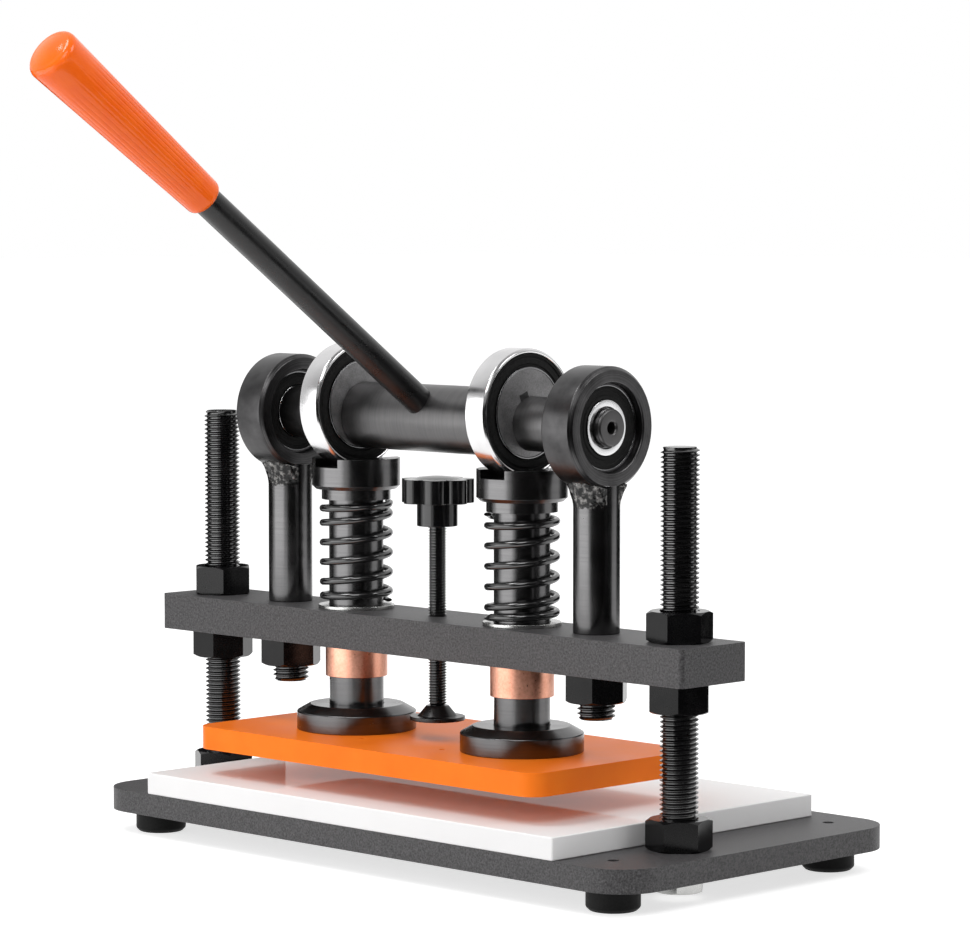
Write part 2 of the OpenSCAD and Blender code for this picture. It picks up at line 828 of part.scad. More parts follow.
module swivel_pad() {
    color("#1c1c1e") translate([0, column_y, pad_z]) difference() {
        union() {
            cylinder(d = pad_d, h = pad_rim_t);
            translate([0, 0, pad_rim_t])
                cylinder(d1 = pad_dome_d, d2 = screw_d + 2 * rim_chamfer, h = pad_h - pad_rim_t);
        }
        translate([0, 0, pad_h - pivot_h - clear_gap]) cylinder(d = pivot_d + 2 * run_gap, h = pad_h);
    }
}

module adjuster_screw() {
    shoulder_z = pad_z + pad_h + clear_gap;
    color("#2a2a2c") {
        translate([0, column_y, shoulder_z]) cylinder(d = screw_d, h = hub_z + insert_h - shoulder_z);
        translate([0, column_y, pad_z + pad_h - pivot_h]) cylinder(d = pivot_d, h = pivot_h + 2 * clear_gap);
    }
}

module star_knob() {
    dome_d = knob_d - lobe_d;
    dome_r = (pow(dome_d / 2, 2) + pow(knob_dome_h, 2)) / (2 * knob_dome_h);
    color("black") translate([0, column_y, hub_z]) difference() {
        union() {
            cylinder(d = hub_d, h = hub_h);
            translate([0, 0, hub_h]) linear_extrude(knob_h) {
                circle(d = dome_d);
                for (i = [0 : knob_lobes - 1])
                    rotate(i * 360 / knob_lobes) translate([(knob_d - lobe_d) / 2, 0]) circle(d = lobe_d);
            }
            intersection() {
                translate([0, 0, hub_h + knob_h + knob_dome_h - dome_r]) sphere(dome_r);
                translate([0, 0, hub_h + knob_h]) cylinder(d = dome_d, h = 2 * knob_dome_h);
            }
        }
        translate([0, 0, -cut]) cylinder(d = insert_d + 2 * fit_gap, h = insert_h + fit_gap + cut);
    }
}

module knob_insert() {
    color("gray") translate([0, column_y, hub_z]) ring(insert_d, screw_d + 2 * fit_gap, insert_h);
}

base_plate();
rubber_feet();
column_left();
column_right();
base_nuts();
column_bolts();
cutting_board();
beam();
beam_nuts_upper();
beam_nuts_lower();
eye_post_left();
eye_post_right();
eye_nuts();
eye_outer_race_left();
eye_outer_race_right();
eye_balls_left();
eye_balls_right();
eye_seals_left();
eye_seals_right();
guide_bush_left();
guide_bush_right();
spring_washer_left();
spring_washer_right();
spring_left();
spring_right();
camshaft();
eccentric_left();
eccentric_right();
eccentric_keys();
eye_inner_race_left();
eye_inner_race_right();
wheel_inner_race_left();
wheel_inner_race_right();
lever_rod();
lever_grip();
wheel_left();
wheel_right();
wheel_balls_left();
wheel_balls_right();
wheel_seals_left();
wheel_seals_right();
press_plate();
plate_screws();
plunger_left();
plunger_right();
plunger_head_left();
plunger_head_right();
plunger_flange_left();
plunger_flange_right();
swivel_pad();
adjuster_screw();
star_knob();
knob_insert();
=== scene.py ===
"""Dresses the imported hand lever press: fine shapes, finishes, studio light and the photograph's camera."""
import json
import math

import bmesh
import bpy
import numpy as np
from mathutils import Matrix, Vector

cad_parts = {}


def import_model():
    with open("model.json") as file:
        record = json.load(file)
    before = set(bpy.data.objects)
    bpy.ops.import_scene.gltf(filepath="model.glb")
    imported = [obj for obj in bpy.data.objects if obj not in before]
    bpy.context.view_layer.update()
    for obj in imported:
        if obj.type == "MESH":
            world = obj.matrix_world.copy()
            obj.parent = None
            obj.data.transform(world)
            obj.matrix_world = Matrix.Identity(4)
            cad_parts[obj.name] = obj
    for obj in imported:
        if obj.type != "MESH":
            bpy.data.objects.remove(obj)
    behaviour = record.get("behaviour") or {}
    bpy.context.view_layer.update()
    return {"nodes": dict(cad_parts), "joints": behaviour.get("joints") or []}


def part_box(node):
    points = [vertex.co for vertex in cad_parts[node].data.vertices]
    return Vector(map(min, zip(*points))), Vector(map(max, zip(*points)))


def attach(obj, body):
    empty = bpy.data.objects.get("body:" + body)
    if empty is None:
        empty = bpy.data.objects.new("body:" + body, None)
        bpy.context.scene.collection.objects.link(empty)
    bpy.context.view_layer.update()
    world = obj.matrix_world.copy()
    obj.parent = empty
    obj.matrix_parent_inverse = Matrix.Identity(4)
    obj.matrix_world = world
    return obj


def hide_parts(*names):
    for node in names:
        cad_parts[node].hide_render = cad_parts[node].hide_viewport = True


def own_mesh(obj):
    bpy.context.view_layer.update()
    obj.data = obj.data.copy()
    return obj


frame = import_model()
NODES = frame["nodes"]
JOINTS = {joint["name"]: joint for joint in frame["joints"]}

MM = 0.001
TURN = 2 * math.pi
X_AXIS = Vector((1, 0, 0))
Y_AXIS = Vector((0, 1, 0))
Z_AXIS = Vector((0, 0, 1))
SIDES = ("left", "right")


# Places that the frame gives

def middle(node):
    """Centre of a node's box."""
    low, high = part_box(node)
    return (low + high) / 2


def size(node):
    """Width, depth and height of a node's box."""
    low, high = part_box(node)
    return high - low


def at_height(point, z):
    """The same place seen from above, at another height."""
    return Vector((point.x, point.y, z))


def node_points(node):
    """The points of a node's own mesh."""
    return np.array([vertex.co for vertex in NODES[node].data.vertices])


SHAFT_CENTRE = Vector(JOINTS["lever_turn"]["pos_m"])
SHAFT_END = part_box("camshaft")[1].x
BEAM_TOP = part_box("beam")[1].z


# Mesh helpers

# An axis whose X share is above this runs along X
ALONG_X = 0.9


def square_pair(axis):
    """Two directions square to an axis and to each other."""
    first = Y_AXIS if abs(axis.x) > ALONG_X else X_AXIS
    return first, axis.cross(first)


def turned_points(origin, axis, radius, height, angles):
    """Rings of points round an axis; radius and height may change along a ring."""
    first, second = square_pair(axis)
    radius, height, angles = np.broadcast_arrays(radius, height, angles)
    points = np.array(origin) + height[..., None] * np.array(axis)
    points = points + (radius * np.cos(angles))[..., None] * np.array(first)
    return points + (radius * np.sin(angles))[..., None] * np.array(second)


def ring_faces(rows, columns, closed):
    """Quads between neighbouring rings; a closed stack also joins its last ring to its first."""
    faces = []
    for row in range(rows if closed else rows - 1):
        after = (row + 1) % rows
        for column in range(columns):
            beside = (column + 1) % columns
            faces.append((row * columns + column, row * columns + beside,
                          after * columns + beside, after * columns + column))
    return faces


def cap_faces(rows, columns, centre_start):
    """Fans that close the first and the last ring round two centre points."""
    faces = []
    last = (rows - 1) * columns
    for column in range(columns):
        beside = (column + 1) % columns
        faces.append((centre_start, beside, column))
        faces.append((centre_start + 1, last + column, last + beside))
    return faces


# Points closer than the first are one point, and edges shorter than the second go, in metres
DOUBLE_GAP = 2e-6
SLIVER = 1e-6


def mesh_piece(name, points, faces, sharp=35.0):
    """A clean mesh object: doubled points merged, faces outward, smooth up to the sharp angle."""
    mesh = bpy.data.meshes.new(name)
    mesh.from_pydata([tuple(point) for point in points], [], faces)
    work = bmesh.new()
    work.from_mesh(mesh)
    bmesh.ops.remove_doubles(work, verts=work.verts, dist=DOUBLE_GAP)
    bmesh.ops.dissolve_degenerate(work, edges=work.edges, dist=SLIVER)
    bmesh.ops.recalc_face_normals(work, faces=work.faces)
    work.to_mesh(mesh)
    work.free()
    mesh.polygons.foreach_set("use_smooth", [True] * len(mesh.polygons))
    mesh.set_sharp_from_angle(angle=math.radians(sharp))
    piece = bpy.data.objects.new(name, mesh)
    bpy.context.scene.collection.objects.link(piece)
    return piece


def stacked(name, rings, closed=False, sharp=35.0):
    """A solid from a stack of rings, an array of rows, columns and three numbers."""
    rows, columns = rings.shape[:2]
    points = list(rings.reshape(-1, 3))
    faces = ring_faces(rows, columns, closed)
    if not closed:
        faces += cap_faces(rows, columns, len(points))
        points += [rings[0].mean(axis=0), rings[-1].mean(axis=0)]
    return mesh_piece(name, points, faces, sharp)


# Most of an edge that the rounding of one corner takes up
CORNER_SHARE = 0.45
EDGE_ROUND = 0.3 * MM


def rounded(profile, radius, closed=False, steps=4):
    """A profile whose corners are rounded; the ends of an open profile stay as they are."""
    corners = [np.array(corner, float) for corner in profile]
    count = len(corners)
    result = []
    for index, corner in enumerate(corners):
        if not closed and index in (0, count - 1):
            result.append(corner)
            continue
        before = corners[index - 1] - corner
        after = corners[(index + 1) % count] - corner
        limit = CORNER_SHARE * min(np.linalg.norm(before), np.linalg.norm(after))
        reach = min(radius, limit)
        start = corner + before / np.linalg.norm(before) * reach
        end = corner + after / np.linalg.norm(after) * reach
        for step in range(steps + 1):
            share = step / steps
            result.append((1 - share) ** 2 * start + 2 * share * (1 - share) * corner + share ** 2 * end)
    return result


def turned(name, profile, origin, axis=Z_AXIS, round_by=EDGE_ROUND, closed=False, segments=96):
    """A lathe piece from a profile of radius and height pairs."""
    profile = np.array(rounded(profile, round_by, closed))
    angles = np.arange(segments) * TURN / segments
    rings = turned_points(origin, axis, profile[:, :1], profile[:, 1:], angles[None, :])
    return stacked(name, rings, closed)


def joined(name, parts):
    """One object from several, whose own objects go."""
    mesh = bpy.data.meshes.new(name)
    work = bmesh.new()
    for part in parts:
        work.from_mesh(part.data)
    work.to_mesh(mesh)
    work.free()
    for part in parts:
        bpy.data.objects.remove(part)
    piece = bpy.data.objects.new(name, mesh)
    bpy.context.scene.collection.objects.link(piece)
    return piece


# Share of the pitch and share of the depth at the corners of a metric thread
THREAD_FORM = ((0.0, 0.0), (0.25, 0.0), (0.5625, 1.0), (0.6875, 1.0))
# Depth of the thread as a share of its pitch
THREAD_DEPTH = 0.6134
# How far the rim of an end face lies below the root of the thread
THREAD_END_DROP = 0.1 * MM
# Turns that the helix runs on past each end before it is cut flat
SPARE_TURNS = 2


def threaded(name, origin, radius, pitch, length, segments=48):
    """A rod along Z with a true helical thread and chamfered ends."""
    depth = THREAD_DEPTH * pitch
    root = radius - depth
    turns = int(length / pitch) + 2 * SPARE_TURNS + 1
    starts = range(-SPARE_TURNS, turns - SPARE_TURNS)
    shares = np.array([turn + share for turn in starts for share, _ in THREAD_FORM])
    lifts = np.array([lift for _ in range(turns) for _, lift in THREAD_FORM])
    angles = np.arange(segments) * TURN / segments
    heights = np.clip(pitch * (shares[:, None] + angles[None, :] / TURN), 0, length)
    from_end = np.minimum(heights, length - heights)
    limit = root - THREAD_END_DROP + from_end
    radii = np.minimum(root + depth * lifts[:, None], limit)
    rings = turned_points(origin, Z_AXIS, radii, heights, angles[None, :])
    rows = len(shares)
    step = len(THREAD_FORM)
    faces = []
    for row in range(rows - 1 - step):
        for column in range(segments):
            jump = step if column == segments - 1 else 0
            beside = (column + 1) % segments
            faces.append((row * segments + column, (row + jump) * segments + beside,
                          (row + 1 + jump) * segments + beside, (row + 1) * segments + column))
    points = list(rings.reshape(-1, 3))
    faces += cap_faces(rows, segments, len(points))
    points += [rings[0].mean(axis=0), rings[-1].mean(axis=0)]
    return mesh_piece(name, points, faces, sharp=25.0)


# Degrees at each end of a spring's wire that are ground, and the share of the wire left at the tip
GROUND_ANGLE = 25.0
GROUND_THICKNESS = 0.5


def wire_coil(name, centre, radius, wire, heights, turns, start, sides=14, per_turn=40):
    """A round wire wound about Z with ground ends; heights gives its height at each share of the turns."""
    steps = int(turns * per_turn)
    shares = np.linspace(0, 1, steps + 1)
    angles = start + shares * turns * TURN
    from_end = np.minimum(shares, 1 - shares) * turns * 360
    ground = 1 - np.clip(from_end / GROUND_ANGLE, GROUND_THICKNESS, 1)
    lifts = np.interp(shares, heights[0], heights[1]) + wire / 2 * ground * np.sign(shares - 0.5)
    thick = (1 - ground) * wire / 2
    around = np.arange(sides) * TURN / sides
    out = radius + wire / 2 * np.cos(around)[None, :]
    rings = np.empty((steps + 1, sides, 3))
    rings[..., 0] = centre.x + out * np.cos(angles)[:, None]
    rings[..., 1] = centre.y + out * np.sin(angles)[:, None]
    rings[..., 2] = lifts[:, None] + thick[:, None] * np.sin(around)[None, :]
    return stacked(name, rings, sharp=60.0)


# Edges sharper than these angles are rounded, the second on the knob
CRISP_EDGE = math.radians(22)
KNOB_EDGE = math.radians(40)
EDGE_STEPS = 3
# Points of a node closer than this are one point, and faces within this angle are one face
MERGE_GAP = 0.004 * MM
FLAT_ANGLE = math.radians(0.5)
# Weight of the large faces in the shading of the rounded edges
FACE_WEIGHT = 100


def soften(node, width):
    """Rounds the edges of a node that keeps its own mesh."""
    piece = NODES[node]
    weld = piece.modifiers.new("weld", "WELD")
    weld.merge_threshold = MERGE_GAP
    flat = piece.modifiers.new("flat", "DECIMATE")
    flat.decimate_type = "DISSOLVE"
    flat.angle_limit = FLAT_ANGLE
    bevel = piece.modifiers.new("edge", "BEVEL")
    bevel.width = width
    bevel.segments = EDGE_STEPS
    bevel.limit_method = "ANGLE"
    bevel.angle_limit = KNOB_EDGE if node == "star_knob" else CRISP_EDGE
    crisp = piece.modifiers.new("crisp", "WEIGHTED_NORMAL")
    crisp.weight = FACE_WEIGHT
    piece.data.polygons.foreach_set("use_smooth", [True] * len(piece.data.polygons))


def dress(piece, finish):
    """Gives a piece its finish as its only material."""
    piece.data.materials.clear()
    piece.data.materials.append(finish)


def place(piece, body, slot, finish, *nodes):
    """Puts a new piece on its body, with its finish and the nodes it stands for."""
    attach(piece, body)
    dress(piece, finish)
    if nodes:
        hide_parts(*nodes)
    return piece


# Finishes

# The span that most of a noise's values fill
NOISE_LOW = 0.3
NOISE_HIGH = 0.7


class Finish:
    """A procedural material that is built up in layers of noise."""

    def __init__(self, name, metallic=0.0, specular=0.5):
        self.material = bpy.data.materials.new(name)
        self.material.use_nodes = True
        self.tree = self.material.node_tree
        self.shader = self.tree.nodes["Principled BSDF"]
        self.shader.inputs["Metallic"].default_value = metallic
        self.shader.inputs["Specular IOR Level"].default_value = specular
        self.place = self.tree.nodes.new("ShaderNodeTexCoord").outputs["Object"]

    def link(self, source, target):
        self.tree.links.new(source, target)

    def noise(self, scale, stretch=(1, 1, 1), detail=3.0, roughness=0.55):
        """Noise over the object's own place, stretched along its axes."""
        mapping = self.tree.nodes.new("ShaderNodeMapping")
        mapping.inputs["Scale"].default_value = stretch
        texture = self.tree.nodes.new("ShaderNodeTexNoise")
        texture.inputs["Scale"].default_value = scale
        texture.inputs["Detail"].default_value = detail
        texture.inputs["Roughness"].default_value = roughness
        self.link(self.place, mapping.inputs["Vector"])
        self.link(mapping.outputs["Vector"], texture.inputs["Vector"])
        return texture.outputs["Fac"]

    def rings(self, centre, scale):
        """Noise that runs in circles round an axis along X, like tool marks on a turned face."""
        move = self.tree.nodes.new("ShaderNodeVectorMath")
        move.operation = "SUBTRACT"
        move.inputs[1].default_value = centre
        flatten = self.tree.nodes.new("ShaderNodeVectorMath")
        flatten.operation = "MULTIPLY"
        flatten.inputs[1].default_value = (0, 1, 1)
        length = self.tree.nodes.new("ShaderNodeVectorMath")
        length.operation = "LENGTH"
        texture = self.tree.nodes.new("ShaderNodeTexNoise")
        texture.noise_dimensions = "1D"
        texture.inputs["Scale"].default_value = scale
        texture.inputs["Detail"].default_value = 2.0
        self.link(self.place, move.inputs[0])
        self.link(move.outputs[0], flatten.inputs[0])
        self.link(flatten.outputs[0], length.inputs[0])
        self.link(length.outputs["Value"], texture.inputs["W"])
        return texture.outputs["Fac"]

    def both(self, first, second):
        """Half of one layer and half of another."""
        add = self.tree.nodes.new("ShaderNodeMath")
        add.operation = "ADD"
        half = self.tree.nodes.new("ShaderNodeMath")
        half.operation = "MULTIPLY"
        half.inputs[1].default_value = 0.5
        self.link(first, add.inputs[0])
        self.link(second, add.inputs[1])
        self.link(add.outputs[0], half.inputs[0])
        return half.outputs[0]

    def colour(self, layer, dark, light, low=0.32, high=0.68):
        """Colours from dark to light over a layer."""
        ramp = self.tree.nodes.new("ShaderNodeValToRGB")
        ramp.color_ramp.elements[0].position = low
        ramp.color_ramp.elements[0].color = (*dark, 1)
        ramp.color_ramp.elements[1].position = high
        ramp.color_ramp.elements[1].color = (*light, 1)
        self.link(layer, ramp.inputs["Fac"])
        self.link(ramp.outputs["Color"], self.shader.inputs["Base Color"])
        return self

    def gloss(self, layer, low, high):
        """Roughness from low to high over a layer."""
        span = self.tree.nodes.new("ShaderNodeMapRange")
        span.inputs["From Min"].default_value = NOISE_LOW
        span.inputs["From Max"].default_value = NOISE_HIGH
        span.inputs["To Min"].default_value = low
        span.inputs["To Max"].default_value = high
        self.link(layer, span.inputs["Value"])
        self.link(span.outputs["Result"], self.shader.inputs["Roughness"])
        return self

    def relief(self, layer, depth, strength=1.0):
        """Small relief of a given depth over a layer."""
        bump = self.tree.nodes.new("ShaderNodeBump")
        bump.inputs["Strength"].default_value = strength
        bump.inputs["Distance"].default_value = depth
        self.link(layer, bump.inputs["Height"])
        self.link(bump.outputs["Normal"], self.shader.inputs["Normal"])
        return self


def powder_coat():
    """Charcoal paint with a fine sandy skin."""
    finish = Finish("charcoal_powder_coat", specular=0.3)
    grain = finish.noise(900, detail=3.0, roughness=0.7)
    finish.colour(grain, (0.0135, 0.013, 0.014), (0.114, 0.111, 0.114), 0.30, 0.70)
    finish.gloss(grain, 0.36, 0.52)
    return finish.relief(grain, 0.30 * MM, 1.0).material


def black_oxide(name, roughness=(0.24, 0.34), specular=0.5):
    """Blackened steel with a thin oily gloss."""
    finish = Finish(name, specular=specular)
    cloud = finish.noise(90, detail=5.0)
    grain = finish.noise(1500, detail=2.0)
    finish.colour(finish.both(cloud, grain), (0.002, 0.002, 0.0024), (0.008, 0.0078, 0.008))
    finish.gloss(cloud, *roughness)
    return finish.relief(grain, 0.010 * MM, 0.5).material


def blued_steel():
    """Smooth blued steel with faint lathe lines round an upright axis."""
    finish = Finish("blued_steel", metallic=1.0)
    lines = finish.noise(900, (0.02, 0.02, 1), detail=2.0)
    cloud = finish.noise(60, detail=4.0)
    finish.colour(finish.both(lines, cloud), (0.105, 0.104, 0.106), (0.145, 0.143, 0.144))
    finish.gloss(cloud, 0.20, 0.28)
    return finish.relief(lines, 0.003 * MM, 0.3).material


def recess_shaded_steel():
    """Bearing steel darkened as painted shade of the eye's recess, with a soft metal sheen."""
    finish = Finish("race_steel_painted_recess_shade", metallic=1.0)
    cloud = finish.noise(90, detail=4.0)
    finish.colour(cloud, (0.030, 0.029, 0.031), (0.085, 0.082, 0.084))
    finish.gloss(cloud, 0.26, 0.38)
    return finish.relief(cloud, 0.006 * MM, 0.4).material


def turned_steel():
    """Dark satin steel with fine lathe lines round the shaft."""
    finish = Finish("turned_shaft_steel", metallic=1.0)
    lines = finish.noise(900, (1, 0.02, 0.02), detail=3.0)
    cloud = finish.noise(70, detail=4.0)
    finish.colour(finish.both(lines, cloud), (0.095, 0.094, 0.095), (0.135, 0.132, 0.133))
    finish.gloss(cloud, 0.32, 0.40)
    return finish.relief(lines, 0.003 * MM, 0.3).material


def bearing_steel(name, dark, light):
    """Ground steel of the bearing races; darker colours make a copy of it that is painted shade."""
    finish = Finish(name, metallic=1.0)
    lines = finish.noise(1200, (1, 0.03, 0.03), detail=2.0)
    finish.colour(lines, dark, light)
    finish.gloss(lines, 0.14, 0.22)
    return finish.relief(lines, 0.004 * MM, 0.4).material


def wheel_chrome():
    """Polished outer ring of a wheel."""
    finish = Finish("polished_wheel_chrome", metallic=1.0)
    lines = finish.noise(1500, (1, 0.02, 0.02), detail=2.0)
    cloud = finish.noise(50, detail=2.0)
    finish.colour(cloud, (0.64, 0.635, 0.64), (0.76, 0.755, 0.76))
    finish.gloss(lines, 0.14, 0.22)
    return finish.relief(lines, 0.002 * MM, 0.4).material


def cast_face():
    """Pale grey sintered face of the eccentrics."""
    finish = Finish("sintered_eccentric", metallic=0.85, specular=0.4)
    grain = finish.noise(1400, detail=3.0)
    cloud = finish.noise(120, detail=4.0)
    finish.colour(finish.both(grain, cloud), (0.16, 0.158, 0.16), (0.34, 0.335, 0.34))
    finish.gloss(cloud, 0.36, 0.48)
    return finish.relief(grain, 0.06 * MM, 0.7).material


def eye_steel(side):
    """Dark machined steel of an eye, with turning marks on its faces."""
    finish = Finish("machined_eye_" + side, metallic=1.0)
    marks = finish.rings(SHAFT_CENTRE, 2600)
    cloud = finish.noise(80, detail=4.0)
    finish.colour(finish.both(marks, cloud), (0.030, 0.0295, 0.030), (0.11, 0.108, 0.11))
    finish.gloss(cloud, 0.28, 0.36)
    return finish.relief(marks, 0.010 * MM, 0.6).material


def weld_metal():
    """Rippled dark weld whose bright spots are painted glints."""
    finish = Finish("weld_bead", metallic=0.7)
    lumps_and_glints = finish.noise(420, detail=3.0)
    # The light end of the ramp paints bright glints on the weld's lumps
    finish.colour(lumps_and_glints, (0.020, 0.020, 0.020), (0.34, 0.33, 0.32), 0.50, 0.80)
    finish.gloss(lumps_and_glints, 0.16, 0.26)
    return finish.relief(lumps_and_glints, 0.35 * MM, 0.9).material


def copper():
    """Pitted copper of the guide bushes."""
    finish = Finish("pitted_copper", metallic=1.0)
    pits = finish.noise(700, detail=4.0)
    cloud = finish.noise(90, detail=3.0)
    finish.colour(finish.both(pits, cloud), (0.60, 0.27, 0.18), (0.88, 0.46, 0.33))
    finish.gloss(pits, 0.27, 0.36)
    return finish.relief(pits, 0.008 * MM, 0.5).material


def zinc():
    """Bright zinc plate."""
    finish = Finish("zinc_plate", metallic=1.0)
    cloud = finish.noise(160, detail=4.0)
    finish.colour(cloud, (0.44, 0.44, 0.43), (0.56, 0.56, 0.55))
    finish.gloss(cloud, 0.20, 0.30)
    return finish.relief(cloud, 0.004 * MM, 0.3).material


def orange_paint():
    """Orange paint of the press plate, with a slight ripple."""
    finish = Finish("orange_paint", specular=0.12)
    ripple = finish.noise(260, detail=2.0)
    cloud = finish.noise(40, detail=3.0)
    finish.colour(cloud, (0.97, 0.190, 0.010), (1.0, 0.220, 0.014))
    finish.gloss(cloud, 0.36, 0.44)
    return finish.relief(ripple, 0.015 * MM, 0.25).material


def grip_plastic():
    """Glossy moulded orange plastic of the lever's grip."""
    finish = Finish("orange_grip_plastic", specular=0.35)
    cloud = finish.noise(70, detail=3.0)
    grain = finish.noise(600, detail=2.0)
    finish.colour(cloud, (0.97, 0.125, 0.004), (1.0, 0.150, 0.006))
    finish.gloss(cloud, 0.15, 0.22)
    return finish.relief(grain, 0.006 * MM, 0.3).material


def knob_plastic():
    """Glossy black moulded plastic."""
    finish = Finish("black_knob_plastic", specular=0.5)
    cloud = finish.noise(120, detail=3.0)
    finish.colour(cloud, (0.003, 0.003, 0.0035), (0.007, 0.007, 0.0075))
    finish.gloss(cloud, 0.12, 0.20)
    return finish.relief(cloud, 0.01 * MM, 0.4).material


def board_plastic():
    """White sheet plastic with faint knife and saw haze."""
    finish = Finish("white_board_plastic", specular=0.01)
    cloud = finish.noise(18, detail=2.0)
    haze = finish.noise(500, (0.15, 1, 1), detail=3.0)
    finish.colour(cloud, (0.89, 0.885, 0.885), (0.92, 0.915, 0.915))
    finish.gloss(cloud, 0.02, 0.04)
    return finish.relief(haze, 0.001 * MM, 0.05).material


def rubber(name, dark, light):
    """Matt black rubber."""
    finish = Finish(name, specular=0.15)
    grain = finish.noise(900, detail=3.0)
    finish.colour(grain, dark, light)
    finish.gloss(grain, 0.48, 0.66)
    return finish.relief(grain, 0.03 * MM, 0.5).material


POWDER = powder_coat()
BLACK = black_oxide("black_oxide_steel")
NUT_BLACK = black_oxide("black_oxide_nut", (0.12, 0.20), 0.2)
BLUED = blued_steel()
# The eyes' outer races: bearing steel darkened as painted shade of the recess they sit in
RACE_IN_PAINTED_SHADE = recess_shaded_steel()
THREAD_BLACK = black_oxide("black_oxide_thread", (0.14, 0.22), 1.0)
SHAFT = turned_steel()
RACE = bearing_steel("ground_bearing_steel", (0.62, 0.62, 0.63), (0.80, 0.80, 0.81))
# Thin race edges beside the seals: the race steel darkened as painted shade
RACE_EDGE_PAINTED_SHADE = bearing_steel("race_edge_steel_painted_shade", (0.16, 0.16, 0.165), (0.30, 0.30, 0.305))
CHROME = wheel_chrome()
CAST = cast_face()
EYE = {side: eye_steel(side) for side in SIDES}
WELD = weld_metal()
COPPER = copper()
ZINC = zinc()
ORANGE = orange_paint()
GRIP = grip_plastic()
KNOB = knob_plastic()
BOARD = board_plastic()
FOOT_RUBBER = rubber("foot_rubber_skin", (0.005, 0.005, 0.005), (0.012, 0.012, 0.012))
SEAL_RUBBER = rubber("seal_rubber_skin", (0.004, 0.004, 0.004), (0.016, 0.016, 0.016))


# Nodes that keep their own mesh: the finish, and how far the edges are rounded, in millimetres
NODE_LOOKS = {
    "base_plate": (POWDER, 0.8),
    "rubber_feet": (FOOT_RUBBER, 0.6),
    "column_bolts": (ZINC, 0.3),
    "base_nuts": (NUT_BLACK, 0.5),
    "cutting_board": (BOARD, 0.7),
    "beam": (POWDER, 0.7),
    "beam_nuts_upper": (NUT_BLACK, 0.5),
    "beam_nuts_lower": (NUT_BLACK, 0.5),
    "eye_nuts": (NUT_BLACK, 0.5),
    "lever_rod": (BLACK, 0.3),
    "eccentric_keys": (BLACK, 0.1),
    "press_plate": (ORANGE, 1.0),
    "plate_screws": (BLACK, 0.2),
    "star_knob": (KNOB, 0.8),
    "knob_insert": (ZINC, 0.2),
    "swivel_pad": (BLACK, 0.4),
}
PAIRED_LOOKS = {
    "eye_balls": (RACE, 0.0),
    "wheel_balls": (RACE, 0.0),
    "guide_bush": (COPPER, 0.3),
    "spring_washer": (ZINC, 0.3),
    "plunger": (BLUED, 0.3),
    "plunger_head": (BLUED, 0.5),
    "plunger_flange": (BLUED, 0.5),
}


def dress_node(node, finish, edge):
    """Gives a node its finish and rounds its edges."""
    dress(NODES[node], finish)
    if edge:
        soften(node, edge * MM)


def dress_nodes():
    """Dresses every node that keeps its own mesh."""
    for node, look in NODE_LOOKS.items():
        dress_node(node, *look)
    for stem, look in PAIRED_LOOKS.items():
        for side in SIDES:
            dress_node(f"{stem}_{side}", *look)


# Pieces with finer shapes than their nodes

COLUMN_PITCH = 2.5 * MM


def columns():
    """The two columns with their threads."""
    for side in SIDES:
        node = "column_" + side
        low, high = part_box(node)
        foot = at_height(middle(node), low.z)
        rod = threaded(node + "_thread", foot, (high.x - low.x) / 2, COLUMN_PITCH, high.z - low.z)
        place(rod, "base", "black_steel", THREAD_BLACK, node)


SCREW_PITCH = 1.5 * MM
SCREW_PIVOT_R = 3.4 * MM
PAD_GAP = 0.2 * MM


def adjuster_screw():
    """The adjusting screw: a thread, and the plain pivot that sits in the pad."""
    low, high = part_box("adjuster_screw")
    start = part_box("swivel_pad")[1].z + PAD_GAP
    centre = middle("adjuster_screw")
    radius = (high.x - low.x) / 2
    thread = threaded("screw_thread", at_height(centre, start), radius, SCREW_PITCH, high.z - start)
    profile = [(0, low.z), (SCREW_PIVOT_R, low.z), (SCREW_PIVOT_R, start), (0, start)]
    pivot = turned("screw_pivot", profile, at_height(centre, 0))
    screw = joined("adjuster_screw_threaded", [thread, pivot])
    place(screw, "adjuster", "black_steel", THREAD_BLACK, "adjuster_screw")


SPRING_WIRE = 4.0 * MM
SPRING_OPEN_TURNS = 4
SPRING_END_TURNS = 1
SPRING_END_GAP = 0.9 * MM
SPRING_STARTS = {"left": math.radians(61), "right": math.radians(225)}


def springs():
    """The two return springs: closed end turns and open turns between."""
    for side in SIDES:
        node = "spring_" + side
        low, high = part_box(node)
        radius = (high.x - low.x - SPRING_WIRE) / 2
        turns = SPRING_OPEN_TURNS + 2 * SPRING_END_TURNS
        bottom = low.z + SPRING_WIRE / 2
        top = high.z - SPRING_WIRE / 2
        shares = [0, SPRING_END_TURNS / turns, 1 - SPRING_END_TURNS / turns, 1]
        rise = SPRING_WIRE + SPRING_END_GAP
        heights = [bottom, bottom + rise, top - rise, top]
        coil = wire_coil(node + "_coil", middle(node), radius, SPRING_WIRE, (shares, heights), turns,
                         SPRING_STARTS[side])
        place(coil, "crossbeam", "black_steel", THREAD_BLACK, node)
        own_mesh(coil)


EYE_POST_R = 12.25 * MM
EYE_POST_ROUND = 0.6 * MM
EYE_EDGE = 2.0 * MM
EYE_LIP = 0.6 * MM
EYE_ROUND = 0.35 * MM
EYE_RECESS = 4.0 * MM
STUD_R = 10.0 * MM
STUD_PITCH = 2.5 * MM


